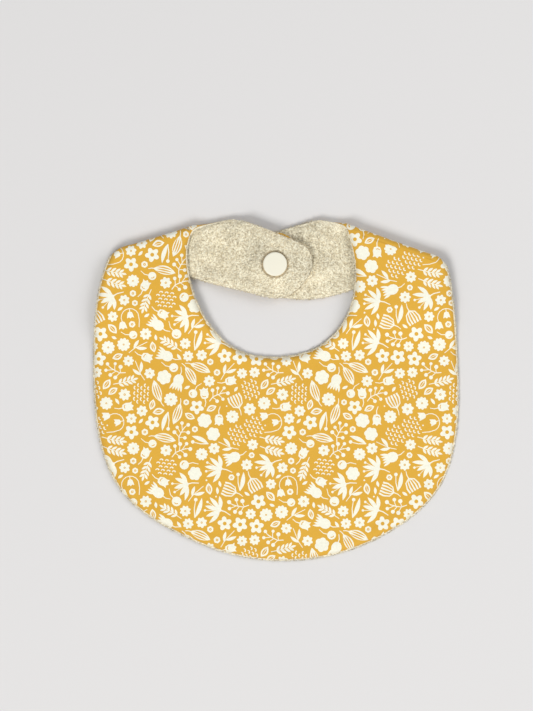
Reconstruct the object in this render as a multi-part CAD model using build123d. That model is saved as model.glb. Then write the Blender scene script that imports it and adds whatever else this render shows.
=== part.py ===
"""A baby's bib, sewn from a printed cotton front and a towelling back, with two neck straps and one snap.

The bib lies on its towelling side. Both straps are folded behind the shoulders, so that they lie
towelling side up in the neck opening, with the inner strap snapped over the outer one.

Frame, in millimetres: the origin is the middle of the bib's footprint on the table, +Z is up,
+Y runs from the hem towards the neck and +X towards the outer strap's shoulder.
"""

import os
from math import cos, radians, sin

from build123d import *

# Cloth
COTTON = 0.4
TOWEL = 2.0
CLOTH = COTTON + TOWEL

# Heights above the table
STRAP_Z = 1.3  # underside of both straps, the height of the snap cap below them
FOLD_GAP = 1.0  # between the two towelling faces inside a shoulder fold
SHOULDER_Z = STRAP_Z + CLOTH + FOLD_GAP  # underside of the panel over the straps
FOLD_Z = STRAP_Z + CLOTH + FOLD_GAP / 2  # axis of both shoulder folds
FOLD_R = CLOTH + FOLD_GAP / 2  # outer radius of a shoulder fold
RAMP_Y = (18.0, 46.0)  # where the panel rises from the table to the straps

# Snap, a 12.4 mm plastic one
SNAP_XY = (-0.4, 65.1)
CAP_D, CAP_H, CAP_ROUND = 12.4, 1.3, 0.5
PRONG_D, PRONG_HOLE_D = 2.0, 2.2
RIVET_D, RIVET_H = 3.1, 0.4
FLANGE_D, FLANGE_H = 10.6, 0.9
STUD_D, STUD_H, STUD_RECESS = 4.0, 1.7, 0.8
SOCKET_D, SOCKET_H, SOCKET_BORE_D, SOCKET_FLOOR = 10.6, 2.6, 4.4, 0.5
SNAP_GAP = 0.15  # between the stud's flange and the socket's rim
TIP_CLEAR = 0.1  # of the crushed tip in the stud's recess, on the diameter
STUD_Z = STRAP_Z + CLOTH  # base of the stud, on the outer strap
SOCKET_Z = STUD_Z + FLANGE_H + SNAP_GAP  # rim of the socket
INNER_Z = SOCKET_Z + SOCKET_H  # underside of the inner strap over the snap

# Line across the inner strap where its end bends up
BEND_XY = (-36.5, 71.0)
BEND_ANGLE = -10.0  # heading of the inner strap from there, in degrees from +X
BEND_HALF = 2.6  # half the length of strap that bends

# The inner strap's rise over the outer one: distance from the bend, height of its underside
OVER_Z = STUD_Z + 0.7  # where it lies over the outer strap, clear of it
LIFT = [(0, STRAP_Z), (15.5, OVER_Z), (30.0, INNER_Z), (43.0, INNER_Z), (56.0, OVER_Z), (70.0, OVER_Z)]

# Seam thread, between the two cloths all along their free edges
SEAM_INSET, SEAM_WIDTH, SEAM_H = 0.8, 0.6, 0.3
SEAM_STEPS = 48

# Shoulder folds, seen from above: outer corner and neck end of each crease
LEFT_CREASE = ((-83.6, 72.7), (-37.8, 86.7))
RIGHT_CREASE = ((87.0, 68.0), (32.9, 87.6))

# Free edges, seen from above, as smooth curves through these points
HEM = [
    LEFT_CREASE[0], (-89.8, 59.7), (-94.2, 33.0), (-94.6, 2.0), (-90.6, -30.0),
    (-79.5, -53.5), (-55.0, -72.3), (-24.0, -85.2), (7.4, -88.8), (38.6, -83.3),
    (66.0, -69.5), (84.5, -51.5), (93.0, -28.0), (95.0, 5.1), (92.9, 38.0), RIGHT_CREASE[0],
]
NECK = [
    RIGHT_CREASE[1], (38.6, 76.3), (41.0, 61.2), (37.6, 40.4), (23.0, 23.0), (-0.4, 17.0),
    (-18.6, 20.2), (-36.3, 36.8), (-44.6, 58.1), (-44.6, 77.9), LEFT_CREASE[1],
]
INNER_STRAP = [
    LEFT_CREASE[1], (-26.4, 88.8), (-13.4, 86.5), (7.4, 78.4), (16.8, 73.0), (19.1, 66.5),
    (15.7, 57.1), (5.2, 48.3), (-13.4, 50.3), (-34.2, 55.5), (-44.6, 58.6), LEFT_CREASE[0],
]
OUTER_STRAP = [
    RIGHT_CREASE[1], (25.6, 88.4), (7.4, 84.1), (-12.0, 76.8), (-19.6, 68.0),
    (-16.5, 59.0), (-2.0, 49.6), (12.6, 47.0), (31.0, 49.3), (46.0, 54.0), RIGHT_CREASE[0],
]

FAR = 130.0  # beyond the bib in any direction


def prism(face):
    """A vertical prism over a plan shape, reaching past the bib above and below."""
    return extrude(Pos(0, 0, -5) * face, 30, dir=(0, 0, 1))


def strap_plan(points):
    """The plan shape of a strap: a smooth curve round its end, and the straight crease that closes it."""
    return Face(Wire([Spline(*points), Line(points[-1], points[0])]))


def bib_plan():
    """The plan shape of the panel, between hem and neck and the two creases."""
    return Face(Wire([Spline(*HEM), Line(*RIGHT_CREASE), Spline(*NECK), Line(*LEFT_CREASE[::-1])]))


def crease_frame(crease):
    """A frame on a fold's axis: X along the crease from its left end, Y across it onto the bib."""
    left, right = sorted(crease)
    along = (Vector(*right) - Vector(*left)).normalized()
    inward = Vector(along.Y, -along.X)
    origin = Vector(*left) + inward * FOLD_R
    return Plane(origin=(origin.X, origin.Y, FOLD_Z), x_dir=along, z_dir=(0, 0, -1))


def crease_length(crease):
    """The length of a crease."""
    return (Vector(*crease[1]) - Vector(*crease[0])).length


def inside_fold(crease):
    """Everything on the bib's side of a fold's axis."""
    block = Pos(0, FAR, 0) * Box(4 * FAR, 2 * FAR, FAR)
    return crease_frame(crease) * block


def fold_shell(crease, low, high):
    """The half ring of cloth round a fold, between two heights above the strap's underside."""
    ring = Plane.YZ * (Circle(FOLD_R - low) - Circle(FOLD_R - high))
    tube = extrude(ring, crease_length(crease))
    outer_half = Pos(0, -FAR / 2, 0) * Box(3 * FAR, FAR, FAR)
    return crease_frame(crease) * (tube & outer_half)


def layer(path, low, high, frame):
    """A sheet between two heights over a path of (distance, height), square to the frame."""
    lower = [(d, z + low) for d, z in path]
    upper = [(d, z + high) for d, z in reversed(path)]
    outline = make_face(Polyline(*lower, *upper, close=True))
    return frame * extrude(outline, FAR, both=True)


def panel_layer(low, high):
    """A sheet of the panel: flat on the table, and raised over the straps."""
    path = [(-FAR, 0), (RAMP_Y[0], 0), (RAMP_Y[1], SHOULDER_Z), (FAR, SHOULDER_Z)]
    return layer(path, low, high, Plane.YZ)


def strap_layer(low, high):
    """A flat sheet at the straps' height, measured from their cotton side, which is down."""
    return Pos(0, 0, STRAP_Z + (low + high) / 2) * Box(3 * FAR, 3 * FAR, high - low)


def bend_frame():
    """A frame on the inner strap's bend line: X along the strap, Y up, Z across it."""
    heading = radians(BEND_ANGLE)
    return Plane(
        origin=(*BEND_XY, 0),
        x_dir=(cos(heading), sin(heading), 0),
        z_dir=(sin(heading), -cos(heading), 0),
    )


def rising_layer(low, high):
    """A sheet that rises from the bend line over the outer strap and the snap."""
    return layer([(-10, STRAP_Z), *LIFT], low, high, bend_frame())


def beyond_bend(distance):
    """Everything further along the inner strap than a distance from the bend line."""
    return bend_frame() * (Pos(distance + FAR, 0, 0) * Box(2 * FAR, 2 * FAR, 2 * FAR))


def snap_hole():
    """The hole through cloth or plastic that a cap's prong goes through."""
    return Pos(*SNAP_XY, 0) * Cylinder(PRONG_HOLE_D / 2, 60)


def inset(edge, distance):
    """A curve beside an edge, by a distance to the left of its direction."""
    steps = [i / SEAM_STEPS for i in range(SEAM_STEPS + 1)]
    return Spline(*[edge @ t + (edge % t).rotate(Axis.Z, 90) * distance for t in steps])


def seam_space(points, side=1):
    """The room for the seam thread beside a free edge. Side is -1 where the cloth is on the right."""
    edge = Spline(*points)
    near = inset(edge, side * SEAM_INSET)
    far = inset(edge, side * (SEAM_INSET + SEAM_WIDTH))
    end = Line(near @ 1, far @ 1)
    start = Line(far @ 0, near @ 0)
    return prism(Face(Wire([near, end, far, start])))


def disc(diameter, height, z):
    """A disc of the snap, standing on a height."""
    return Pos(*SNAP_XY, z + height / 2) * Cylinder(diameter / 2, height)


def snap_cap(face_z, up, reach):
    """A snap's cap: a rounded disc against the cloth, its prong, and the prong's crushed tip."""
    head = Cylinder(CAP_D / 2, CAP_H)
    head = fillet(head.edges().sort_by(Axis.Z)[-1], CAP_ROUND)
    prong = Pos(0, 0, -CAP_H / 2 - reach / 2) * Cylinder(PRONG_D / 2, reach)
    tip = Pos(0, 0, -CAP_H / 2 - reach - RIVET_H / 2) * Cylinder(RIVET_D / 2, RIVET_H)
    cap = Pos(0, 0, CAP_H / 2) * (head + prong + tip)
    return Pos(*SNAP_XY, face_z) * (cap if up else Rot(180, 0, 0) * cap)


def snap_stud(base_z):
    """The half that stands up: a flange, a post and the recess that holds the crushed tip."""
    stud = disc(FLANGE_D, FLANGE_H, base_z) + disc(STUD_D, FLANGE_H + STUD_H, base_z)
    recess = disc(RIVET_D + TIP_CLEAR, STUD_RECESS, base_z + FLANGE_H + STUD_H - STUD_RECESS)
    return stud - recess - snap_hole()


def snap_socket(base_z):
    """The half that takes the stud: a ring open below, with a floor against the cloth."""
    socket = disc(SOCKET_D, SOCKET_H, base_z)
    bore = disc(SOCKET_BORE_D, SOCKET_H - SOCKET_FLOOR, base_z)
    return socket - bore - snap_hole()


def write(name, shape):
    """Write one piece as its own STEP file."""
    export_step(shape, f"parts/{name}.step")


def main():
    os.makedirs("parts", exist_ok=True)
    panel = bib_plan()
    inner = strap_plan(INNER_STRAP)
    outer = strap_plan(OUTER_STRAP)
    panel_space = prism(panel) & inside_fold(LEFT_CREASE) & inside_fold(RIGHT_CREASE)
    inner_space = prism(inner) & inside_fold(LEFT_CREASE)
    outer_space = prism(outer) & inside_fold(RIGHT_CREASE)
    inner_base = inner_space - beyond_bend(-BEND_HALF)
    inner_end = (inner_space & beyond_bend(BEND_HALF)) - snap_hole()
    inner_bend = (inner_space & beyond_bend(-BEND_HALF)) - beyond_bend(BEND_HALF)
    outer_space = outer_space - snap_hole()

    seam = (COTTON, COTTON + SEAM_H)
    inner_seam_space = seam_space(INNER_STRAP, side=-1)
    panel_seam = panel_layer(TOWEL - SEAM_H, TOWEL) & panel_space
    panel_seam = panel_seam & (seam_space(HEM) + seam_space(NECK))
    panel_seam = panel_seam + (strap_layer(*seam) & inner_base & inner_seam_space)
    outer_seam = strap_layer(*seam) & outer_space & seam_space(OUTER_STRAP)
    inner_seam = rising_layer(*seam) & inner_end & inner_seam_space

    towel = (panel_layer(0, TOWEL) & panel_space) + fold_shell(LEFT_CREASE, COTTON, CLOTH)
    towel = towel + (strap_layer(COTTON, CLOTH) & inner_base)
    cotton = (panel_layer(TOWEL, CLOTH) & panel_space) + fold_shell(LEFT_CREASE, 0, COTTON)
    cotton = cotton + (strap_layer(0, COTTON) & inner_base)
    write("towelling_back", towel - panel_seam)
    write("cotton_front", cotton)
    write("edge_seam_thread", panel_seam)

    write("outer_fold_towelling", fold_shell(RIGHT_CREASE, COTTON, CLOTH))
    write("outer_fold_cotton", fold_shell(RIGHT_CREASE, 0, COTTON))
    write("outer_strap_towelling", (strap_layer(COTTON, CLOTH) & outer_space) - outer_seam)
    write("outer_strap_cotton", strap_layer(0, COTTON) & outer_space)
    write("outer_strap_seam_thread", outer_seam)

    write("inner_bend_towelling", strap_layer(COTTON, CLOTH) & inner_bend)
    write("inner_bend_cotton", strap_layer(0, COTTON) & inner_bend)
    write("inner_strap_towelling", (rising_layer(COTTON, CLOTH) & inner_end) - inner_seam)
    write("inner_strap_cotton", rising_layer(0, COTTON) & inner_end)
    write("inner_strap_seam_thread", inner_seam)

    write("snap_stud", snap_stud(STUD_Z))
    write("snap_socket", snap_socket(SOCKET_Z))
    write("outer_snap_cap", snap_cap(STRAP_Z, False, CLOTH + FLANGE_H + STUD_H - STUD_RECESS))
    write("inner_snap_cap", snap_cap(INNER_Z + CLOTH, True, CLOTH + SOCKET_FLOOR))


main()
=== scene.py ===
"""Looks of a small sewn bib: printed cotton in front, towelling behind, a turned seam and a plastic snap.

The cloth is drawn flat, in the millimetres of its paper pattern, cut into triangles there, and then
folded: place() carries a flat point, and a height above the join of the two cloths, to where it lies.
"""

import bpy
import numpy as np
from mathutils.geometry import delaunay_2d_cdt
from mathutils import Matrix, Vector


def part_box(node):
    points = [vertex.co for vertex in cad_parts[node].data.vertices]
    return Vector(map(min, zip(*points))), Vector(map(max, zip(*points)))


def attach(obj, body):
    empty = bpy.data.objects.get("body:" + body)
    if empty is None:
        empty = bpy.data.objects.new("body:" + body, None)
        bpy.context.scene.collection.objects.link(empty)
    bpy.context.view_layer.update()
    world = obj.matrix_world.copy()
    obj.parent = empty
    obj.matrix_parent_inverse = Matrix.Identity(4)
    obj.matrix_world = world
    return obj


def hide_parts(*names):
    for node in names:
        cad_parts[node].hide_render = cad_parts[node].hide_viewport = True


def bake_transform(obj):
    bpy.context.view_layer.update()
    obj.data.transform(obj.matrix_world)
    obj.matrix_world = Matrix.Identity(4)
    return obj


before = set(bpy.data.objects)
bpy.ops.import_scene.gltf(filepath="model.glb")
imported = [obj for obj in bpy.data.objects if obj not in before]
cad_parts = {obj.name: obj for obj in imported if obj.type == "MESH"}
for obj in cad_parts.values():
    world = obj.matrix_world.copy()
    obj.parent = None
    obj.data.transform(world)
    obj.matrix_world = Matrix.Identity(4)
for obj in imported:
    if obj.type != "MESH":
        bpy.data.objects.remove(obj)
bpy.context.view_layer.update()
MM = 0.001

# Cloth thicknesses and heights above the table, in millimetres
COTTON, TOWEL = 0.4, 2.0
CLOTH = COTTON + TOWEL
STRAP_Z, FOLD_GAP = 1.3, 1.0
SHOULDER_Z = STRAP_Z + CLOTH + FOLD_GAP
FOLD_Z = STRAP_Z + CLOTH + FOLD_GAP / 2
FOLD_R = TOWEL + FOLD_GAP / 2  # radius of a fold, at the join of the two cloths
FOLD_OUT = FOLD_R + COTTON
TURN = np.pi * FOLD_R  # length of cloth in a fold
RAMP_Y = (18.0, 46.0)  # the bib slopes up to its shoulders between these

# Seen from above: the snap, and the inner strap's bend with the way along the strap there
SNAP = np.array([-0.4, 65.1])
CAP_R, CAP_H = 6.2, 1.3
BEND, BEND_HALF = np.array([-36.5, 71.0]), 2.6
HEADING = np.array([np.cos(np.radians(-10.0)), np.sin(np.radians(-10.0))])
OVER_Z = 3.1  # how far the inner strap rises to lie over the outer one
OVER_RUN = (3.0, 20.0)  # along the strap, from its bend
SNAP_RISE = 2.95  # how much further it rises over the snap
MOUND_RUN = (6.3, 19.0)  # from the snap's middle
SINK, SINK_RUN = 1.0, (9.0, 26.0)  # how far the outer strap sinks away from the snap
LOWEST = -1.2  # the outer strap stays on the table
# Hills and hollows in the straps: middle, width and height
INNER_HILLS = [(-38.0, 71.0, 4.0, 0.9), (-28.5, 74.0, 6.0, -1.6), (-9.0, 77.0, 5.0, -0.5)]
OUTER_HILLS = [(28.0, 64.0, 6.5, 3.6), (20.0, 72.0, 4.0, -0.6), (24.0, 82.0, 6.0, 1.2)]

# The bib as it lies: the ends of its shoulder creases, and its edge, counter-clockwise in the flat pattern
LEFT_CREASE = ((-83.6, 72.7), (-37.8, 86.7))
RIGHT_CREASE = ((32.9, 87.6), (87.0, 68.0))
HEM = [
    (-89.8, 59.7), (-94.2, 33.0), (-94.6, 2.0), (-90.6, -30.0), (-79.5, -53.5), (-55.0, -72.3),
    (-24.0, -85.2), (7.4, -88.8), (38.6, -83.3), (66.0, -69.5), (84.5, -51.5), (93.0, -28.0),
    (95.0, 5.1), (92.9, 38.0),
]
NECK = [
    (38.6, 76.3), (41.0, 61.2), (37.6, 40.4), (23.0, 23.0), (-0.4, 17.0), (-18.6, 20.2),
    (-36.3, 36.8), (-44.6, 58.1), (-44.6, 77.9),
]
INNER_STRAP = [
    (-26.4, 88.8), (-13.4, 86.5), (7.4, 78.4), (16.8, 73.0), (19.1, 66.5), (15.7, 57.1),
    (5.2, 48.3), (-13.4, 50.3), (-34.2, 55.5), (-44.6, 58.6),
]
OUTER_STRAP = [
    (46.0, 54.0), (31.0, 49.3), (12.6, 47.0), (-2.0, 49.6), (-16.5, 59.0), (-19.6, 68.0),
    (-12.0, 76.8), (7.4, 84.1), (25.6, 88.4),
]


def ease(value, low, high):
    """0 below low and 1 above high, and between them a curve that starts and ends level."""
    t = np.clip((value - low) / (high - low), 0.0, 1.0)
    return t * t * (3.0 - 2.0 * t)


def waves(points, length, seed):
    """A gentle unevenness from -1 to 1: the mean of seven sines with random headings and phases."""
    rng = np.random.default_rng(seed)
    heading = rng.uniform(0, 2 * np.pi, 7)
    number = 2 * np.pi / (length * rng.uniform(0.7, 1.5, 7))
    phase = rng.uniform(0, 2 * np.pi, 7)
    along = points[:, :1] * np.cos(heading) + points[:, 1:2] * np.sin(heading)
    return np.sin(along * number + phase).mean(axis=1) * 1.6


# The flat pattern and its folds


def fold_axis(left, right):
    """A fold's axis seen from above: a point on it, and the way out from the bib."""
    along = np.subtract(right, left) / np.linalg.norm(np.subtract(right, left))
    out = np.array([-along[1], along[0]])
    return np.array(left) - out * FOLD_OUT, out


LEFT, RIGHT = fold_axis(*LEFT_CREASE), fold_axis(*RIGHT_CREASE)


def beyond(flat, fold):
    """How far points of the flat pattern lie beyond a fold's axis."""
    return (flat - fold[0]) @ fold[1]


def unfold(plan, fold):
    """Where points of a folded strap lie in the flat pattern: mirrored in the axis, past the turn."""
    return plan + (TURN - 2 * beyond(plan, fold))[:, None] * fold[1]


def seen_from_above(flat, fold):
    """Where points of the flat pattern lie once the strap is folded: the inverse of unfold()."""
    past = np.maximum(beyond(flat, fold) - TURN / 2, 0.0)
    return flat - 2 * past[:, None] * fold[1]


def hill(plan, x, y, width, height=1.0):
    """A round hill: its height times e to the minus squared distance over squared width."""
    return height * np.exp(-((plan[:, 0] - x) ** 2 + (plan[:, 1] - y) ** 2) / width**2)


def inner_rise(plan):
    """How far the inner strap is lifted: a slope up from its bend, a mound over the snap, and hills."""
    slope = OVER_Z * ease((plan - BEND) @ HEADING, *OVER_RUN)
    mound = SNAP_RISE * (1 - ease(np.linalg.norm(plan - SNAP, axis=1), *MOUND_RUN))
    return slope + mound + sum(hill(plan, *shape) for shape in INNER_HILLS)


def outer_rise(plan):
    """How far the outer strap is off its height: it sinks away from the snap, and has hills."""
    sunk = SINK * ease(np.linalg.norm(plan - SNAP, axis=1), *SINK_RUN)
    return np.maximum(sum(hill(plan, *shape) for shape in OUTER_HILLS) - sunk, LOWEST)


def place(flat, height, fold, rise=None):
    """Where a flat point lies. Height is measured from the join of the cloths, towards the print.

    On the bib's side of the axis the height is added upwards. Round the fold the point turns about
    the axis at FOLD_R plus its height. Past the turn the cloth runs back under the bib, print down.
    """
    past = beyond(flat, fold)
    turn = np.clip(past / FOLD_R, 0.0, np.pi)
    radius = FOLD_R + height
    out = np.where(past < 0, past, np.where(past < TURN, radius * np.sin(turn), TURN - past))
    plan = flat + (out - past)[:, None] * fold[1]
    z = FOLD_Z + radius * np.cos(turn)
    lay = np.where(past < 0, 1.0 - ease(flat[:, 1], *RAMP_Y), 0.0)
    z = z - SHOULDER_Z * lay
    ruffle = 0.22 * waves(flat, 24.0, 5) + 0.12 * waves(flat, 9.0, 6)
    z = z + np.abs(ruffle) * np.where(past < 0, 1.0, 0.4)
    if rise is not None:
        z = z + rise(plan) * ease(past, TURN, TURN + 4.0)
    return np.column_stack([plan, z])


def smooth_loop(points, step):
    """A closed curve through points, cut into even steps, with each step's place in the list of points.

    Between two points it is a cubic, and slope and bend carry on through each point: the bends m solve
    h0*m0 + 2(h0+h1)*m1 + h1*m2 = 6(d1 - d0), with h the spacings and d the slopes between points.
    Each cubic is drawn with 60 short sides before the even steps are marked off.
    """
    closed = np.vstack([points, points[:1]])
    h = np.linalg.norm(np.diff(closed, axis=0), axis=1)
    slope = np.diff(closed, axis=0) / h[:, None]
    count = len(h)
    row = np.arange(count)
    system = np.zeros((count, count))
    system[row, row - 1] = np.roll(h, 1)
    system[row, row] = 2 * (h + np.roll(h, 1))
    system[row, (row + 1) % count] = h
    bend = np.linalg.solve(system, 6 * (slope - np.roll(slope, 1, axis=0)))
    bend = np.vstack([bend, bend[:1]])
    t = np.linspace(0, 1, 60, endpoint=False)[None, :, None]
    p, q, m, n = closed[:-1, None], closed[1:, None], bend[:-1, None], bend[1:, None]
    hh = h[:, None, None] ** 2 / 6
    curve = (1 - t) * p + t * q + hh * (((1 - t) ** 3 - (1 - t)) * m + (t**3 - t) * n)
    curve = curve.reshape(-1, 2)
    place_in_list = (row[:, None] + t[0, :, 0][None]).ravel()
    curve = np.vstack([curve, curve[:1]])
    place_in_list = np.append(place_in_list, count)
    run = np.append(0, np.cumsum(np.linalg.norm(np.diff(curve, axis=0), axis=1)))
    even = np.linspace(0, run[-1], int(run[-1] / step), endpoint=False)
    loop = np.column_stack([np.interp(even, run, curve[:, k]) for k in (0, 1)])
    return loop, np.interp(even, run, place_in_list)


def half_way(point, fold):
    """A crease's end in the flat pattern, in the middle of the turn."""
    return np.array([point]) + (TURN / 2 - FOLD_OUT) * fold[1]


PATTERN = np.vstack([
    half_way(LEFT_CREASE[1], LEFT),
    unfold(np.array(INNER_STRAP), LEFT),
    half_way(LEFT_CREASE[0], LEFT),
    HEM,
    half_way(RIGHT_CREASE[1], RIGHT),
    unfold(np.array(OUTER_STRAP), RIGHT),
    half_way(RIGHT_CREASE[0], RIGHT),
    NECK,
])
STEP = 0.9
OUTLINE, LIST_PLACE = smooth_loop(PATTERN, STEP)
HEM_START = len(INNER_STRAP) + 2
HEM_MIDDLE = HEM_START + len(HEM) // 2
NECK_MIDDLE = HEM_START + len(HEM) + len(OUTER_STRAP) + 2 + len(NECK) // 2
ON_RIGHT = (LIST_PLACE > HEM_MIDDLE) & (LIST_PLACE < NECK_MIDDLE)


def in_blocks(points):
    """The points in blocks of at most 5000, which keeps the tables of points by sides small."""
    return np.array_split(points, len(points) // 5000 + 1)


def to_edge(points, loop):
    """For points, the distance to a closed outline, and the length along it of the nearest place.

    The nearest corner comes from squared distances, p.p - 2p.a + a.a, and the nearest place is on
    one of the two sides that meet there.
    """
    side = np.roll(loop, -1, axis=0) - loop
    length = np.linalg.norm(side, axis=1)
    run = np.append(0, np.cumsum(length))[:-1]
    square = (loop**2).sum(1)
    corner = np.concatenate([(square - 2 * block @ loop.T).argmin(1) for block in in_blocks(points)])
    near, along = np.full(len(points), np.inf), np.zeros(len(points))
    for pick in (corner, corner - 1):
        off = points - loop[pick]
        t = np.clip((off * side[pick]).sum(1) / length[pick] ** 2, 0, 1)
        gap = np.linalg.norm(off - t[:, None] * side[pick], axis=1)
        along = np.where(gap < near, run[pick] + t * length[pick], along)
        near = np.minimum(near, gap)
    return near, along


def inside(points, loop):
    """Whether points are in an outline: a line to the right crosses an odd number of its sides."""
    a, b = loop, np.roll(loop, -1, axis=0)
    slope = (b[:, 0] - a[:, 0]) / np.where(b[:, 1] == a[:, 1], 1e-9, b[:, 1] - a[:, 1])
    found = []
    for block in in_blocks(points):
        x, y = block[:, :1], block[:, 1:]
        crossed = ((a[:, 1] > y) != (b[:, 1] > y)) & (x < a[:, 0] + (y - a[:, 1]) * slope)
        found.append(crossed.sum(1) % 2 == 1)
    return np.concatenate(found)


def cut(loop, keep):
    """The part of a closed outline where keep is above 0, with its ends where keep crosses 0."""
    after, keep_after = np.roll(loop, -1, axis=0), np.roll(keep, -1)
    crosses = keep * keep_after < 0
    t = np.where(crosses, keep / np.where(crosses, keep - keep_after, 1.0), 0.0)
    both = np.stack([loop, loop + t[:, None] * (after - loop)], axis=1).reshape(-1, 2)
    return both[np.stack([keep > 0, crosses], axis=1).ravel()]


def inwards(loop):
    """Unit normals of a closed outline, to its inside."""
    way = np.roll(loop, -1, axis=0) - np.roll(loop, 1, axis=0)
    way /= np.linalg.norm(way, axis=1)[:, None]
    return np.column_stack([-way[:, 1], way[:, 0]])


# The line in the flat where the inner strap's cloth joins the bib's, hidden under the neck edge
JOIN_TOP, JOIN_FOOT = unfold(np.array([(-46.8, 82.5), (-50.0, 57.0)]), LEFT)
JOIN_WAY = (JOIN_TOP - JOIN_FOOT) / np.linalg.norm(JOIN_TOP - JOIN_FOOT)
LAP = 0.35  # how far two cuts lap where they join
NOT_HERE = -5.0  # stands for a length on the other half of the outline


def past_join(flat):
    """How far points of the flat pattern lie past the join line, towards the inner strap's end."""
    side = np.cross(JOIN_WAY, flat - JOIN_FOOT)
    return side * np.sign(np.cross(JOIN_WAY, unfold(SNAP[None], LEFT)[0] - JOIN_FOOT))


def cuts(outline):
    """The outlines of the three cuts: the bib, the outer strap from its fold on, and the inner strap."""
    on_inner = np.where(ON_RIGHT, NOT_HERE, past_join(outline))
    on_outer = np.where(ON_RIGHT, beyond(outline, RIGHT), NOT_HERE)
    bib = cut(outline, -np.maximum(on_inner, on_outer))
    return bib, cut(outline, on_outer + LAP), cut(outline, on_inner + LAP)


BIB_CUT, OUTER_CUT, INNER_CUT = cuts(OUTLINE)
# The cotton stops inside the towelling's edge, but shows past the pile at one place on the inner strap
EDGE_INSET = 0.75
PEEP_MIDDLE = unfold(np.array([(4.0, 79.6)]), LEFT)[0]
PEEP = hill(OUTLINE, *PEEP_MIDDLE, 5.5, 1.9)
COTTON_CUTS = cuts(OUTLINE + (EDGE_INSET - PEEP)[:, None] * inwards(OUTLINE))


# The print: small flowers, leaves and berries in millimetres. Each takes the random generator, though
# some are always the same, and gives a list of (outline, inked), painted in order.


def disc(x, y, radius, count, squash=1.0):
    """An ellipse round (x, y)."""
    a = np.linspace(0, 2 * np.pi, count, endpoint=False)
    return np.column_stack([radius * np.cos(a) + x, radius * squash * np.sin(a) + y])


def turned_by(points, angle):
    """Points turned about the origin."""
    c, s = np.cos(angle), np.sin(angle)
    return np.asarray(points) @ np.array([[c, s], [-s, c]])


def bloom(radius, petals, notch, per_petal):
    """A flower's outline: the radius dips by a notch between round petals."""
    a = np.linspace(0, 2 * np.pi, petals * per_petal, endpoint=False)
    r = radius * (1 - notch * (1 - np.abs(np.cos(petals * a / 2))))
    return np.column_stack([r * np.cos(a), r * np.sin(a)])


def leaf(x, y, angle, length, width, bend=0.0, count=6):
    """A pointed oval from (x, y): half its width is a sine of the way along a bent middle line."""
    t = np.linspace(0, 1, count)
    middle = bend * length * 4 * t * (1 - t)
    half = width / 2 * np.sin(np.pi * t) ** 0.85
    upper = np.column_stack([t * length, middle + half])
    lower = np.column_stack([t * length, middle - half])[-2:0:-1]
    return turned_by(np.vstack([upper, lower]), angle) + (x, y)


def stroke(points, start, end):
    """A ribbon along points, with its width going from start to end."""
    points = np.asarray(points, float)
    way = np.gradient(points, axis=0)
    way /= np.linalg.norm(way, axis=1)[:, None]
    normal = np.column_stack([-way[:, 1], way[:, 0]])
    half = np.linspace(start, end, len(points))[:, None] / 2
    return np.vstack([points + normal * half, (points - normal * half)[::-1]])


def arc(x, y, radius, start, end, count):
    """Points on an arc of a circle, between two angles in degrees."""
    a = np.radians(np.linspace(start, end, count))
    return np.column_stack([x + radius * np.cos(a), y + radius * np.sin(a)])


def flower(radius, petals, notch, per_petal, *eye):
    """A kind of flower. Its radius, and its petals if they are a range, are drawn each time.

    eye holds discs in the middle: each one's share of the radius, its corners, and whether it is inked.
    """

    def draw(rng):
        """One such flower."""
        r = rng.uniform(*radius)
        count = rng.integers(*petals) if isinstance(petals, tuple) else petals
        rings = [(disc(0, 0, share * r, corners), ink) for share, corners, ink in eye]
        return [(bloom(r, count, notch, per_petal), 1)] + rings

    return draw


daisy = flower((3.0, 3.6), (7, 9), 0.34, 5, (0.2, 7, 0), (0.08, 5, 1))
round_daisy = flower((3.5, 4.0), 10, 0.2, 4, (0.15, 7, 0), (0.06, 5, 1))
open_flower = flower((4.0, 4.6), 5, 0.46, 7, (0.27, 9, 0))
full_flower = flower((3.8, 4.5), (5, 7), 0.17, 6)
ring_flower = flower((1.7, 2.3), 6, 0.2, 3, (0.42, 6, 0), (0.16, 5, 1))


def scales(rng):
    """Staggered rows of short crescents."""
    rows = [(x * 3.1 - (y % 2) * 1.55, y * 1.9) for y in range(5) for x in range(3 + y % 2)]
    marks = [stroke(arc(x - 3.1, y - 3.6, 0.95, 200, 350, 5), 0.8, 0.45) for x, y in rows]
    return [(mark, 1) for mark in marks]


def sprig(rng):
    """A stem with six berries on twigs."""
    stem = [(stroke([(-6, -1), (-3, 0.3), (0, 0), (3.2, -0.6)], 0.5, 0.5), 1)]
    tips = np.array([(-1.5, 3.6), (1.6, 3.2), (4.8, 1.6), (5.2, -2.0), (1.2, -3.6), (-2.2, -3.0)])
    roots = np.array([(-3, 0.3), (-0.6, 0.2), (1.2, -0.1), (2.4, -0.5), (0, 0), (-3.4, 0.1)])
    twigs = [(stroke([a, (a + b) / 2 + 0.2, b], 0.4, 0.4), 1) for a, b in zip(roots, tips)]
    return stem + twigs + [(disc(x, y, rng.uniform(0.9, 1.25), 8), 1) for x, y in tips]


def veined_leaf(rng):
    """A leaf's outline with its middle vein."""
    size = rng.uniform(6.0, 7.4)
    vein = stroke([(0.24 * size, 0), (0.5 * size, 0.1), (0.8 * size, 0)], 0.4, 0.25)
    return [
        (leaf(0, 0, 0, size, 0.56 * size, 0.03, 7), 1),
        (leaf(0.17 * size, 0, 0, 0.66 * size, 0.3 * size, 0.03), 0),
        (vein, 1),
    ]


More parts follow.
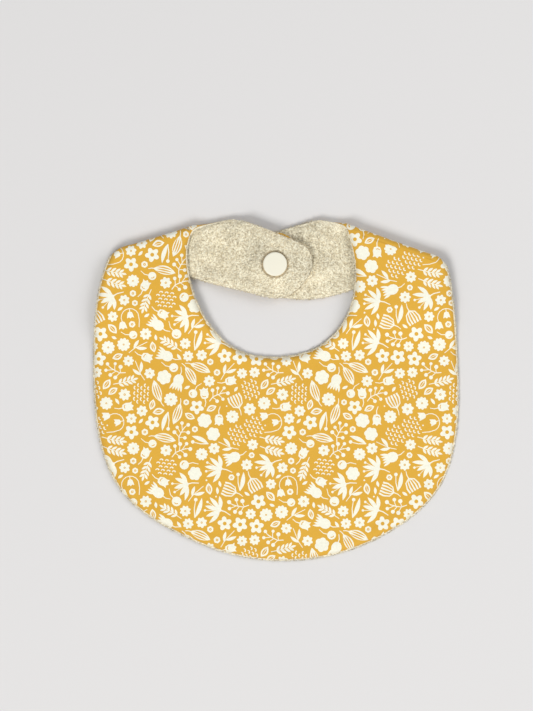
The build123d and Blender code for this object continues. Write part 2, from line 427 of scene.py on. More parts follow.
def striped_leaf(rng):
    """A long leaf with three stripes left out."""
    long = rng.uniform(11.5, 13.5)
    lines = ((-1.0, -0.01), (0.1, 0.02), (1.15, 0.05))
    stripes = [leaf(0.12 * long, y, 0, 0.72 * long, 0.8, bend) for y, bend in lines]
    stem = stroke([(-2.6, -0.8), (-1, -0.1), (0.6, 0.1)], 0.4, 0.5)
    return [(leaf(0, 0, 0, long, 5.0, 0.03, 9), 1), (stem, 1)] + [(s, 0) for s in stripes]


def blade_leaf(rng):
    """A narrow leaf beside a stalk with a bud."""
    long = rng.uniform(10.0, 12.5)
    stalk = stroke([(0, 0), (0.4 * long, 1.5), (0.8 * long, 1.9)], 0.7, 0.35)
    return [(leaf(0, 0, -0.1, long, 2.4, -0.05, 8), 1), (stalk, 1), (disc(0.84 * long, 1.9, 1.05, 7), 1)]


def tulip(rng):
    """A cup with three points, on a stem."""
    cup = np.array([
        (-2.6, 0), (-2.0, 1.7), (0, 2.4), (2.2, 2.1), (3.5, 2.6), (3.0, 1.1),
        (4.1, 0), (3.0, -1.1), (3.5, -2.5), (2.2, -2.1), (0, -2.4), (-2.0, -1.7),
    ])
    stem = stroke([(-6.8, 0.8), (-4.5, -0.1), (-2.4, 0)], 0.4, 0.55)
    glint = stroke(arc(0.2, 0.2, 1.4, 120, 215, 4), 0.45, 0.45)
    return [(cup, 1), (stem, 1), (glint, 0)]


def berry(rng):
    """A berry with a glint, on a bent stem."""
    r = rng.uniform(2.3, 2.8)
    stem = stroke([(0, 0), (-0.5 * r, -1.8 * r), (-1.4 * r, -2.7 * r)], 0.55, 0.35)
    glint = stroke(arc(0, 0, 0.5 * r, -30, 70, 4), 0.5, 0.5)
    return [(stem, 1), (disc(0, 0, r, 12), 1), (glint, 0)]


FIVE = (-2, -1, 0, 1, 2)  # the places of five petals or prongs, from side to side


def lily(rng):
    """Five long petals with two stamens between them."""
    angles = np.radians([-62, -34, 0, 33, 60]) + rng.normal(0, 0.04, 5)
    petals = [
        (leaf(0, 0, 1.15 * a, rng.uniform(7.5, 9.5), 2.3, 0.03 * k, 7), 1)
        for k, a in zip(FIVE, angles)
    ]
    stamens = [(stroke(turned_by([(1, 0), (4, 0.1), (8, 0)], a), 0.35, 0.3), 1) for a in (0.3, -0.3)]
    dots = [(disc(*turned_by([8.3, 0], a), 0.75, 6), 1) for a in (0.3, -0.3)]
    stem = [(stroke([(-6.5, 1.2), (-3, 0.1), (0.3, 0)], 0.45, 0.7), 1), (disc(0.4, 0, 1.3, 8), 1)]
    return stem + petals + stamens + dots


def thistle(rng):
    """A round cup with a ragged crown."""
    cup = [(disc(0, 0, 3.4, 12, 0.86), 1)]
    crown = [(leaf(1.2, 0.9 * k, 0.16 * k, 4.6 + 0.3 * abs(k), 1.3, 0, 5), 1) for k in FIVE]
    hairs = [(stroke([(2.4, 1.6 * k), (4.4, 3.1 * k)], 0.3, 0.5), 1) for k in (-1, 1)]
    return cup + crown + hairs + [(stroke([(-7.5, -1.0), (-5, 0.1), (-2.6, 0)], 0.4, 0.6), 1)]


def seed_head(rng):
    """Five prongs that fan out of a stem."""
    lines = [[(0, 0), (1.8, 1.35 * k), (5.0, 1.8 * k), (7.8, 1.6 * k)] for k in FIVE]
    prongs = [(stroke(line, 0.4, 1.05), 1) for line in lines]
    return prongs + [(stroke([(-4.2, 0.7), (-2, 0), (0.3, 0)], 0.35, 0.6), 1)]


def twig(rng):
    """A stem with two leaves."""
    stem = stroke([(-6, 0), (-2, 0.6), (2, 0.3), (6, 0)], 0.4, 0.4)
    upper, lower = leaf(-2.6, 0.5, 0.5, 6.0, 1.8, 0.04), leaf(-1.2, 0.4, -0.55, 6.4, 1.9, -0.04)
    return [(stem, 1), (upper, 1), (lower, 1)]


def fern(rng):
    """Four pairs of leaves and one at the tip."""
    stem = [(stroke([(-6.5, 0.6), (0, 0), (5.5, 0)], 0.45, 0.4), 1)]
    pairs = [
        (leaf(x, 0.1, side * 0.75, 3.9 - 0.12 * abs(x), 1.35), 1)
        for x in (-3.4, -1.0, 1.4, 3.6)
        for side in (-1, 1)
    ]
    return stem + pairs + [(leaf(4.6, 0, 0, 3.4, 1.3), 1)]


def bells(rng):
    """Two bells that hang from an arched stem."""
    arch = stroke(arc(0, 0, 5.0, 200, 20, 9), 0.4, 0.45)
    foot = stroke([(4.7, 1.6), (4.9, -2), (4.2, -6)], 0.45, 0.4)
    cup = np.array([
        (0, 2.2), (1.5, 1.5), (2.1, -0.5), (2.5, -2.4), (1.1, -1.8),
        (0, -2.7), (-1.1, -1.8), (-2.5, -2.4), (-2.1, -0.5), (-1.5, 1.5),
    ])
    hook = stroke([(0.2, 5), (0.2, 3)], 0.4, 0.4)
    return [(arch, 1), (foot, 1), (cup * 0.95 + (-4.7, -3.6), 1), (cup * 0.8 + (0.2, 1.6), 1), (hook, 1)]


def small_leaf(rng):
    """A plain leaf to fill a gap."""
    return [(leaf(0, 0, 0, rng.uniform(3.2, 4.6), 1.6, 0.03), 1)]


def seed(rng):
    """A dot."""
    return [(disc(0, 0, rng.uniform(0.45, 0.7), 6), 1)]


REPEAT = (82.0, 87.0)  # size of the print's repeat
MOTIF_SCALE = 0.93
LARGE = [
    (lily, 3), (striped_leaf, 5), (seed_head, 3), (thistle, 4), (bells, 2), (fern, 3), (full_flower, 4),
    (twig, 5), (open_flower, 7), (scales, 5), (sprig, 5), (blade_leaf, 4), (tulip, 5), (round_daisy, 7),
    (daisy, 17), (berry, 6), (veined_leaf, 9), (lily, 1), (fern, 2), (tulip, 2), (ring_flower, 4),
]
SMALL = [(daisy, 6), (veined_leaf, 5), (ring_flower, 9), (small_leaf, 12), (seed, 4)]
REACH = 13  # no motif reaches further than this from its middle
CELL = 0.5  # grid on which the motifs are laid out
GAP, CLOSE = 1.8, 2.6  # bare ground left between two motifs, and how near counts as close by


def inked_cells(outlines, lines):
    """The cells of a square grid that lie in any inked outline."""
    cells = np.column_stack([g.ravel() for g in np.meshgrid(lines, lines)])
    hit = np.zeros(len(cells), bool)
    for outline, ink in outlines:
        if ink:
            hit |= inside(cells, outline)
    return hit.reshape(len(lines), len(lines))


def lay_out_print(seed_number):
    """One repeat of the print: the large motifs are put in one by one, and then small ones between.

    Each is tried at five turns. The overlap of its cells with those already inked, for every shift
    round the repeat at once, is a product of Fourier transforms, and of the shifts with none the
    one with most ink close by is taken, so that the motifs nestle.
    """
    rng = np.random.default_rng(seed_number)
    shape = (round(REPEAT[1] / CELL), round(REPEAT[0] / CELL))
    wrap = [np.fft.fftfreq(n, 1 / n) * CELL for n in shape]
    far = np.hypot(*np.meshgrid(wrap[0], wrap[1], indexing="ij"))
    discs = {r: np.fft.rfft2(far <= r) for r in (GAP, CLOSE)}

    def spread(mask, radius):
        """The cells within a radius of any marked cell."""
        return np.fft.irfft2(np.fft.rfft2(mask) * discs[radius], shape) > 0.5

    local = np.arange(-REACH, REACH, CELL)
    number = np.round(local / CELL).astype(int)
    taken = np.zeros(shape, bool)
    laid = []
    large = [kind for kind, count in LARGE for _ in range(count)]
    small = [kind for kind, count in SMALL for _ in range(count)]
    for motif in [large[k] for k in rng.permutation(len(large))] + small:
        near = np.fft.rfft2(spread(taken, CLOSE))
        now = np.fft.rfft2(spread(taken, GAP))
        best = None
        for angle in rng.uniform(0, 2 * np.pi, 5):
            outlines = [(turned_by(o, angle) * MOTIF_SCALE, ink) for o, ink in motif(rng)]
            mask = np.zeros(shape, bool)
            mask[np.ix_(number % shape[0], number % shape[1])] = inked_cells(outlines, local)
            form = np.conj(np.fft.rfft2(mask))
            overlap = np.fft.irfft2(now * form, shape)
            close = np.fft.irfft2(near * form, shape) / max(mask.sum(), 1)
            score = np.where(overlap < 0.5, close + rng.uniform(0, 0.12, shape), -1)
            if best is None or score.max() > best[0]:
                best = (score.max(), np.unravel_index(score.argmax(), shape), outlines, mask)
        if best[0] < 0:
            continue
        _, shift, outlines, mask = best
        taken |= np.roll(mask, shift, (0, 1))
        offset = np.array([shift[1], shift[0]]) * CELL
        laid.append([(o + offset, ink) for o, ink in outlines])
    return laid


PRINT = lay_out_print(11)


def print_over(loop):
    """The print's outlines that touch a cut of cloth: its repeats, side by side."""
    first = (loop.min(0) // REPEAT).astype(int) - 1
    last = (loop.max(0) // REPEAT).astype(int)
    shapes = []
    for i in range(first[0], last[0] + 1):
        for j in range(first[1], last[1] + 1):
            move = np.array([i * REPEAT[0], j * REPEAT[1]])
            centres = np.array([motif[0][0].mean(0) for motif in PRINT]) + move
            for k in np.flatnonzero(inside(centres, loop) | (to_edge(centres, loop)[0] < REACH)):
                shapes += [(outline + move, ink) for outline, ink in PRINT[k]]
    return shapes


# Cloth made of triangles


def clear_of(points, loop, gap, rim):
    """The points in a cut that are clear of its outline by a gap, and of the free edge by a rim."""
    points = points[inside(points, loop)]
    return points[(to_edge(points, loop)[0] > gap) & (to_edge(points, OUTLINE)[0] > rim)]


def even_points(loop, step, rim):
    """Points over a cut of cloth: rows staggered by half a step, clear of its rim."""
    low, high = loop.min(0), loop.max(0)
    xs, ys = np.arange(low[0], high[0], step), np.arange(low[1], high[1], step * 0.866)
    gx, gy = np.meshgrid(xs, ys)
    gx = gx + (np.arange(len(ys)) % 2)[:, None] * step / 2
    return clear_of(np.column_stack([gx.ravel(), gy.ravel()]), loop, step * 0.4, rim)


def rim_points(loop, insets, step):
    """Points in rows beside the free edge: the outline moved inwards along its normals."""
    normal = inwards(OUTLINE)
    every = int(step / STEP)
    rows = np.vstack([(OUTLINE + normal * inset)[::every] for inset in insets])
    want = np.repeat(insets, len(OUTLINE[::every]))
    true = to_edge(rows, OUTLINE)[0]
    return rows[inside(rows, loop) & (to_edge(rows, loop)[0] > 0.12) & (true > want * 0.96)]


def along_fold(fold):
    """The way along a fold's axis."""
    return np.array([fold[1][1], -fold[1][0]])


def fold_points(loop, fold, rim):
    """Points in rows along a fold, close together across it."""
    s, t = np.meshgrid(np.arange(-1.0, TURN + 1.5, 0.55), np.arange(-8, 70, 1.3))
    points = fold[0] + s.reshape(-1, 1) * fold[1] + t.reshape(-1, 1) * along_fold(fold)
    return clear_of(points, loop, 0.3, rim)


def area_within(loop):
    """The area in an outline: half the sum of its cross products, above 0 with its inside on the left."""
    after = np.roll(loop, -1, axis=0)
    return (loop[:, 0] * after[:, 1] - after[:, 0] * loop[:, 1]).sum() / 2


def triangles(loop, free, shapes=()):
    """Cut a flat outline into triangles that keep to the points and to the print's outlines."""
    rings = [loop] + [outline for outline, _ in shapes]
    rings = [ring if area_within(ring) > 0 else ring[::-1] for ring in rings]
    starts = np.cumsum([0] + [len(r) for r in rings])
    faces = [list(range(a, b)) for a, b in zip(starts[:-1], starts[1:])]
    points = np.vstack(rings + [free])
    flat, _, found, _, _, owners = delaunay_2d_cdt(points.tolist(), [], faces, 1, 1e-3, True)
    ink = np.array([0] + [ink for _, ink in shapes])
    owned = np.array([0 in owner for owner in owners])
    inked = ink[[max(owner, default=0) for owner in owners]]
    used, corners = np.unique(np.array(found)[owned], return_inverse=True)
    return np.array(flat)[used], corners.reshape(-1, 3), inked[owned]


def put(name, data):
    """A new object in the scene."""
    made = bpy.data.objects.new(name, data)
    bpy.context.scene.collection.objects.link(made)
    return made


def make_mesh(name, points, faces, material):
    """A smooth mesh of triangles from arrays of points in millimetres and of corner numbers."""
    mesh = bpy.data.meshes.new(name)
    mesh.vertices.add(len(points))
    mesh.vertices.foreach_set("co", (points * MM).ravel())
    mesh.loops.add(faces.size)
    mesh.loops.foreach_set("vertex_index", faces.ravel().astype(np.int32))
    mesh.polygons.add(len(faces))
    mesh.polygons.foreach_set("loop_start", np.arange(0, faces.size, faces.shape[1], dtype=np.int32))
    mesh.update(calc_edges=True)
    mesh.polygons.foreach_set("use_smooth", np.ones(len(faces), bool))
    mesh.materials.append(material)
    return put(name, mesh)


def add_values(piece, name, values, domain="POINT"):
    """Store one number per point or face."""
    piece.data.attributes.new(name, "FLOAT", domain).data.foreach_set("value", values.astype(np.float32))


def add_pattern_map(piece, flat):
    """A UV map that holds the flat pattern, a metre to the unit."""
    corner = np.empty(len(piece.data.loops), np.int32)
    piece.data.loops.foreach_get("vertex_index", corner)
    piece.data.uv_layers.new(name="pattern").data.foreach_set("uv", (flat[corner] * MM).ravel())


def closed_cloth(name, cut_out, upper, lower, fold, rise, material):
    """A closed sheet: the flat triangles at two heights, and a wall round their outline."""
    flat, faces, inked = cut_out
    count = len(flat)
    points = np.vstack([place(flat, upper, fold, rise), place(flat, lower, fold, rise)])
    edge = np.vstack([faces[:, [0, 1]], faces[:, [1, 2]], faces[:, [2, 0]]]).astype(np.int64)
    once = ~np.isin(edge[:, 0] * count + edge[:, 1], edge[:, 1] * count + edge[:, 0])
    a, b = edge[once].T
    wall = np.vstack([np.column_stack([a, a + count, b + count]), np.column_stack([a, b + count, b])])
    piece = make_mesh(name, points, np.vstack([faces, faces[:, ::-1] + count, wall]), material)
    add_pattern_map(piece, np.vstack([flat, flat]))
    add_values(piece, "inked", np.concatenate([inked, inked * 0, np.zeros(len(wall))]), "FACE")
    return piece


def seam_ridge(near):
    """The extra height over the seam allowances turned in along the edge."""
    return 0.45 * ease(near, 1.0, 2.6) * (1 - ease(near, 4.8, 7.5))


def pucker(near, along):
    """Small gathers square to the edge that die out within a few millimetres."""
    wander = np.sin(along / 23.0) + 0.7 * np.sin(along / 9.1 + 1.0)
    return 0.2 * np.sin(2 * np.pi * along / 8.5 + 2.0 * wander) * np.exp(-near / 3.5) * (0.6 + 0.4 * wander)


def join_height(near, along, over):
    """Height of the join of the cloths: down at the edge where the print turns in, up over the ridge."""
    turned_in = -0.95 * (1 - ease(near, 0.3, 2.6))
    return turned_in + (seam_ridge(near) + pucker(near, along)) * over


def rounded(near):
    """A quarter circle in from the edge: 0 at the edge, and 1 from 0.9 mm inside it."""
    return np.sqrt(1 - (1 - np.clip(near / 0.9, 0, 1)) ** 2)


def on_cloth(flat, fold):
    """For flat points: distance to the free edge, length along it, and 1 before a fold and 0 past it."""
    return (*to_edge(flat, OUTLINE), 1 - ease(beyond(flat, fold), 0.0, TURN))


def outer_face(near, along, over):
    """Height of the towelling's outer face: rounded at the edge, and over the ridge on a strap."""
    return -1.3 - 0.7 * rounded(near) - (seam_ridge(near) + pucker(near, along)) * (1 - over)


def cotton_sheet(name, loop, fold, rise, step):
    """The printed cotton over one cut of the pattern. The outer strap's end laps just under the bib's."""
    free = np.vstack([
        even_points(loop, step, 7.0),
        rim_points(loop, np.array([1.0, 1.3, 1.8, 2.5, 3.5, 4.8, 6.2]), 2 * STEP),
        fold_points(loop, fold, 7.0),
    ])
    cut_out = triangles(loop, free, print_over(loop))
    flat = cut_out[0]
    near, along, over = on_cloth(flat, fold)
    lapped = 0.05 * ease(-beyond(flat, fold), 0.0, LAP) * (rise is outer_rise)
    low = join_height(near, along, over) - lapped
    piece = closed_cloth(name, cut_out, low + COTTON, low + 0.02, fold, rise, printed_cotton)
    # How near the free edge, which sets the painted shade where the cloth rolls under
    add_values(piece, "edge", np.tile(np.exp(-near / 1.2), 2))
    return piece


def towel_sheet(name, loop, fold, rise, step, seed_number):
    """The towelling behind one cut of the pattern, uneven as pile is, pressed in round the cap, and with
    painted shade in its hollows and round the cap.
    """
    free = np.vstack([
        even_points(loop, step, 2.4),
        rim_points(loop, np.array([0.15, 0.35, 0.6, 0.9, 1.3, 1.8]), STEP),
        fold_points(loop, fold, 2.4),
    ])
    flat, faces, inked = triangles(loop, free)
    near, along, over = on_cloth(flat, fold)
    rng = np.random.default_rng(seed_number)
    loops = rng.uniform(0, 1, len(flat))
    flat += rng.uniform(-0.25, 0.25, flat.shape) * np.exp(-((near / 0.5) ** 2))[:, None]
    upper = np.where(near < 0.7, -1.2 + 0.4 * rounded(near), join_height(near, along, over))
    from_snap = np.linalg.norm(seen_from_above(flat, fold) - SNAP, axis=1)
    # A ring round the cap where the pile is pressed in, and where the face is also darkened as painted shade
    pressed = np.exp(-(((from_snap - CAP_R - 0.4) / 0.55) ** 2)) * (rise is inner_rise)
    lower = outer_face(near, along, over) + 0.3 * rounded(near) * loops + 0.6 * pressed
    lower = np.minimum(lower, upper - 0.05)
    piece = closed_cloth(name, (flat, faces, inked), upper, lower, fold, rise, towelling)
    # Painted shade: the face is darker where its points sit deeper in the pile
    light = (1 - 0.6 * loops) * (1 - 0.8 * pressed)
    add_values(piece, "pile", np.concatenate([0.6 + 0.4 * loops, light]))
    return piece


# Yarn and thread, made of short strands


def strands(name, middle, side, radius, fold, rise, material, sides):
    """Short strands: a ring carried along each middle line, closed at both ends.

    middle holds points as flat x, flat y and height, for every strand and every step. A ring's first
    axis is the strand's side, and its second is square to that and to the strand.
    """
    count, steps = middle.shape[:2]
    way = np.gradient(middle, axis=1)
    second = np.cross(side[:, None], way)
    second /= np.linalg.norm(second, axis=2, keepdims=True)
    angle = np.linspace(0, 2 * np.pi, sides, endpoint=False)[:, None]
    ring = np.cos(angle) * side[:, None, None] + np.sin(angle) * second[:, :, None]
    points = (middle[:, :, None] + radius[:, None, None] * ring).reshape(-1, 3)
    numbers = (np.arange(count), np.arange(steps - 1), np.arange(sides))
    strand, step, corner = np.meshgrid(*numbers, indexing="ij")
    a = (strand * steps + step) * sides + corner
    b = (strand * steps + step) * sides + (corner + 1) % sides
    quads = np.stack([a, b, b + sides, a, b + sides, a + sides], axis=-1).reshape(-1, 3)
    first = (np.arange(count) * steps * sides)[:, None]
    fan = np.array([(0, k + 1, k) for k in range(1, sides - 1)]).ravel()
    ends = np.hstack([first + fan, first + (steps - 1) * sides + fan.reshape(-1, 3)[:, ::-1].ravel()])
    faces = np.vstack([quads, ends.reshape(-1, 3)])
    piece = make_mesh(name, place(points[:, :2], points[:, 2], fold, rise), faces, material)
    add_pattern_map(piece, points[:, :2])
    return piece


def pile_loops(name, loop, fold, rise, on_face, edge_every, seed_number):
    """Loops of yarn: half rings that stand on the towelling's face, and out from its free edge.

    on_face is their number to a square millimetre, and edge_every their spacing along the edge. On a
    strap they keep clear of the turn.
    """
    rng = np.random.default_rng(seed_number)
    low, high = loop.min(0), loop.max(0)
    face = rng.uniform(low, high, (int(on_face * np.prod(high - low)), 2))
    face = face[inside(face, loop)]
    near, along, over = on_cloth(face, fold)
    clear = np.linalg.norm(seen_from_above(face, fold) - SNAP, axis=1) > CAP_R + 0.6
    from_turn = 1.5 if rise is outer_rise else -4.0
    keep = (near > 0.4) & clear & (beyond(face, fold) > TURN + from_turn)
    face_base = np.column_stack([face, outer_face(near, along, over) + 0.35])[keep]
    face = face[keep]
    face_up = np.column_stack([rng.normal(0, 0.35, (len(face), 2)), np.full(len(face), -1.0)])
    on_strap = (rise is None) | (beyond(OUTLINE, fold) > TURN + 2.0)
    pick = np.flatnonzero((to_edge(OUTLINE, loop)[0] < 0.05) & on_strap)
    pick = rng.choice(pick, int(len(pick) * STEP / edge_every))
    out = -inwards(OUTLINE)[pick]
    edge = OUTLINE[pick] + rng.uniform(-0.4, 0.4, (len(pick), 2))
    edge = edge - out * rng.uniform(0.1, 0.5, len(pick))[:, None]
    edge_base = np.column_stack([edge, rng.uniform(-1.9, -0.75, len(pick))])
    edge_up = np.column_stack([out * 0.8 + rng.normal(0, 0.35, out.shape), rng.normal(0.7, 0.5, len(pick))])
    base, up = np.vstack([face_base, edge_base]), np.vstack([face_up, edge_up])
    up /= np.linalg.norm(up, axis=1)[:, None]
    across = np.cross(up, rng.normal(0, 1, up.shape))
    across /= np.linalg.norm(across, axis=1)[:, None]
    theta = np.linspace(0, np.pi, 4)[None, :, None]
    tall = rng.uniform(0.4, 0.65, len(base))[:, None, None]
    wide = rng.uniform(0.13, 0.27, len(base))[:, None, None]
    half_ring = across[:, None] * wide * np.cos(theta) + up[:, None] * tall * np.sin(theta)
    middle = base[:, None] + half_ring
    # The bib's loops stay off the table, and a strap's keep to an even height
    middle[:, :, 2] = np.maximum(middle[:, :, 2], -1.88 - 0.6 * (rise is not None))
    piece = strands(name, middle, np.cross(across, up), np.full(4, 0.1), fold, rise, towelling, 3)
    # Painted shade: each loop is darker at its feet, down among the others, and its tone varies at random
    # from loop to loop
    shade = np.tile(np.repeat([0.25, 1.0, 1.0, 0.25], 3), len(base))
    add_values(piece, "pile", shade * np.repeat(rng.uniform(0.55, 1.0, len(base)), 4 * 3))
    return piece


def stitches(name, loop, fold, rise):
    """Stitches along the seam: short straight strands end to end, just inside the free edge."""
    pitch, length, inset = 2.6, 2.2, 0.95
    seam = OUTLINE + inset * inwards(OUTLINE)
    run = np.append(0, np.cumsum(np.linalg.norm(np.diff(seam, axis=0), axis=1)))
    at = np.arange(0, run[-1] - pitch, pitch)[:, None] + np.linspace(0, length, 5)
    flat = np.stack([np.interp(at, run, seam[:, k]) for k in (0, 1)], axis=2)
    flat = flat[inside(flat[:, 2], loop) & inside(flat[:, 0], loop) & inside(flat[:, 4], loop)]
    height = join_height(*on_cloth(flat.reshape(-1, 2), fold)).reshape(flat.shape[:2])
    middle = np.dstack([flat, height - 0.1 - 0.1 * (np.linspace(-1, 1, 5) ** 2)])
    side = np.tile((0.0, 0.0, 1.0), (len(flat), 1))
    radius = np.array([0.06, 0.12, 0.13, 0.12, 0.06])
    return strands(name, middle, side, radius, fold, rise, sewing_thread, 5)


# Materials

GROUND = (0.78, 0.44, 0.055, 1)
INK = (0.97, 0.96, 0.81, 1)
# A dark mustard painted as the shade where the cotton rolls under at its edge
EDGE_PAINTED_SHADE = (0.42, 0.24, 0.05, 1)
# The pile's cream, and a dark brown painted as the shade down in its hollows
PILE_PAINTED_SHADE, PILE_HIGH = (0.40, 0.27, 0.12, 1), (1.0, 0.95, 0.745, 1)
SNAP_CREAM = (0.93, 0.895, 0.745, 1)
THREAD_CREAM = (0.85, 0.82, 0.72, 1)


def shader(name, colour, roughness, **constants):
    """A new material with plain numbers set on its Principled shader."""
    material = bpy.data.materials.new(name)
    material.use_nodes = True
    bsdf = material.node_tree.nodes["Principled BSDF"]
    bsdf.inputs["Base Color"].default_value = colour
    bsdf.inputs["Roughness"].default_value = roughness
    for socket, value in constants.items():
        bsdf.inputs[socket.replace("_", " ")].default_value = value
    return material, bsdf


def group(name, **numbers):
    """A new shader node group with its ends: a place and numbers go in, a height and a shade come out."""
    tree = bpy.data.node_groups.new(name, "ShaderNodeTree")
    tree.interface.new_socket("Place", in_out="INPUT", socket_type="NodeSocketVector")
    for label, value in numbers.items():
        tree.interface.new_socket(label, in_out="INPUT", socket_type="NodeSocketFloat").default_value = value
    for label in ("Height", "Shade"):
        tree.interface.new_socket(label, in_out="OUTPUT", socket_type="NodeSocketFloat")
    return tree, tree.nodes.new("NodeGroupInput").outputs, tree.nodes.new("NodeGroupOutput").inputs


def add(tree, kind, settings=None, **links):
    """A node with its settings, and its inputs set to values or linked from sockets."""
    made = tree.nodes.new(kind)
    for key, value in (settings or {}).items():
        setattr(made, key, value)
    for key, value in links.items():
        socket = made.inputs[int(key[1:])] if key[0] == "i" and key[1:].isdigit() else made.inputs[key]
        if isinstance(value, bpy.types.NodeSocket):
            tree.links.new(value, socket)
        else:
            socket.default_value = value
    return made


def math(tree, operation, a, b=0.0):
    """One sum of two numbers or sockets."""
    return add(tree, "ShaderNodeMath", {"operation": operation}, i0=a, i1=b).outputs[0]


def mixed(tree, amount, low, high):
    """Two colours mixed by an amount."""
    return add(tree, "ShaderNodeMix", {"data_type": "RGBA"}, i0=amount, i6=low, i7=high).outputs[2]


def height_and_shade(tree, result, height, noise, amount):
    """Link a group's ends: the height, and a shade round 1 from a noise round a half."""
    shade = math(tree, "MULTIPLY", math(tree, "SUBTRACT", noise, 0.5), amount)
    tree.links.new(height, result["Height"])
    tree.links.new(math(tree, "ADD", shade, 1.0), result["Shade"])
    return tree


def weave_group():
    """Plain weave: the height is a product of sines across and along, and the shade is uneven yarn."""
    tree, given, result = group("weave", Threads=3000.0, Unevenness=0.1)
    split = add(tree, "ShaderNodeSeparateXYZ", Vector=given["Place"])
    turns = math(tree, "MULTIPLY", given["Threads"], float(2 * np.pi))
    across = math(tree, "SINE", math(tree, "MULTIPLY", split.outputs[0], turns))
    along = math(tree, "SINE", math(tree, "MULTIPLY", split.outputs[1], turns))
    height = math(tree, "MULTIPLY_ADD", math(tree, "MULTIPLY", across, along), 0.5)
    height.node.inputs[2].default_value = 0.5
    slub = add(tree, "ShaderNodeTexNoise", Vector=given["Place"], Scale=900.0, Detail=3.0)
    return height_and_shade(tree, result, height, slub.outputs[0], given["Unevenness"])


def grain_group():
    """Fine and coarse noise: a height, and a shade round 1."""
    tree, given, result = group("grain", Fine=2000.0, Coarse=40.0, Depth=0.1)
    fine = add(tree, "ShaderNodeTexNoise", Vector=given["Place"], Scale=given["Fine"], Detail=2.0)
    coarse = add(tree, "ShaderNodeTexNoise", Vector=given["Place"], Scale=given["Coarse"], Detail=2.0)
    most, rest = math(tree, "MULTIPLY", fine.outputs[0], 0.6), math(tree, "MULTIPLY", coarse.outputs[0], 0.4)
    both = math(tree, "ADD", most, rest)
    return height_and_shade(tree, result, both, both, given["Depth"])


WEAVE, GRAIN = weave_group(), grain_group()


def shaded(tree, colour, shade):
    """A colour made lighter or darker by a number round 1."""
    grey = add(tree, "ShaderNodeCombineColor", Red=shade, Green=shade, Blue=shade).outputs[0]
    times = {"data_type": "RGBA", "blend_type": "MULTIPLY"}
    return add(tree, "ShaderNodeMix", times, i0=1.0, i6=colour, i7=grey).outputs[2]


def bumped(tree, bsdf, height, strength, distance):
    """Feed a height to the shader's normal."""
    bump = add(tree, "ShaderNodeBump", Height=height, Strength=strength, Distance=distance)
    tree.links.new(bump.outputs[0], bsdf.inputs["Normal"])


def stored(tree, name):
    """A number stored on the mesh."""
    return add(tree, "ShaderNodeAttribute", {"attribute_name": name}).outputs["Fac"]


def use(tree, shared, place_at, **values):
    """A node of a shared group, at a place, with its values set."""
    return add(tree, "ShaderNodeGroup", {"node_tree": shared}, Place=place_at, **values).outputs


def cotton_material():
    """Mustard ground and cream ink on a plain weave, with painted shade where it turns in at the edge."""
    material, bsdf = shader("printed cotton", GROUND, 0.88, Sheen_Weight=0.12, Specular_IOR_Level=0.2)
    tree = material.node_tree
    pattern = add(tree, "ShaderNodeUVMap", {"uv_map": "pattern"}).outputs[0]
    weave = use(tree, WEAVE, pattern, Threads=1400.0, Unevenness=0.22)
    grain = use(tree, GRAIN, pattern, Fine=1500.0, Coarse=30.0, Depth=0.26)
    ground, ink = shaded(tree, GROUND, grain["Shade"]), shaded(tree, INK, weave["Shade"])
    colour = mixed(tree, stored(tree, "inked"), ground, ink)
    # Painted shade: the cotton darkens towards its free edge, where it rolls under
    edge_shaded = mixed(tree, math(tree, "MULTIPLY", stored(tree, "edge"), 0.35), colour, EDGE_PAINTED_SHADE)
    tree.links.new(edge_shaded, bsdf.inputs["Base Color"])
    bumped(tree, bsdf, weave["Height"], 0.25, 0.0001)
    return material


def towelling_material():
    """Cream loops, with painted shade down between them, and a fine grain."""
    material, bsdf = shader("towelling", PILE_HIGH, 0.95, Sheen_Weight=0.12, Specular_IOR_Level=0.1)
    tree = material.node_tree
    pattern = add(tree, "ShaderNodeUVMap", {"uv_map": "pattern"}).outputs[0]
    grain = use(tree, GRAIN, pattern, Fine=1300.0, Coarse=60.0, Depth=1.6)
    # Painted shade: the stored pile number mixes towards dark brown down in the hollows
    colour = mixed(tree, math(tree, "POWER", stored(tree, "pile"), 0.85), PILE_PAINTED_SHADE, PILE_HIGH)
    tree.links.new(shaded(tree, colour, grain["Shade"]), bsdf.inputs["Base Color"])
    bumped(tree, bsdf, grain["Height"], 0.6, 0.0004)
    return material


def grained_material(name, colour, roughness, grain_values, strength, **constants):
    """One colour with a fine unevenness in its shade and its surface."""
    material, bsdf = shader(name, colour, roughness, **constants)
    tree = material.node_tree
    grain = use(tree, GRAIN, add(tree, "ShaderNodeTexCoord").outputs["Object"], **grain_values)
    tree.links.new(shaded(tree, colour, grain["Shade"]), bsdf.inputs["Base Color"])
    bumped(tree, bsdf, grain["Height"], strength, 0.00005)
    return material


printed_cotton = cotton_material()
towelling = towelling_material()
snap_plastic = grained_material(
    "snap plastic", SNAP_CREAM, 0.42, {"Fine": 1500.0, "Coarse": 200.0, "Depth": 0.06}, 0.12,
    Coat_Weight=0.08, Coat_Roughness=0.35,
)
sewing_thread = grained_material(
    "sewing thread", THREAD_CREAM, 0.7, {"Fine": 6000.0, "Coarse": 300.0, "Depth": 0.3}, 0.4,
    Sheen_Weight=0.2, Specular_IOR_Level=0.3,
)


# Pieces


def facts(piece, slot, *nodes):
    """Hide the CAD nodes that a piece stands for. The piece and the slot of its finish are not used."""
    if nodes:
        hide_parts(*nodes)


def cloth_facts(piece, slot, nodes):
    """The same for a cloth."""
    facts(piece, slot, *nodes)


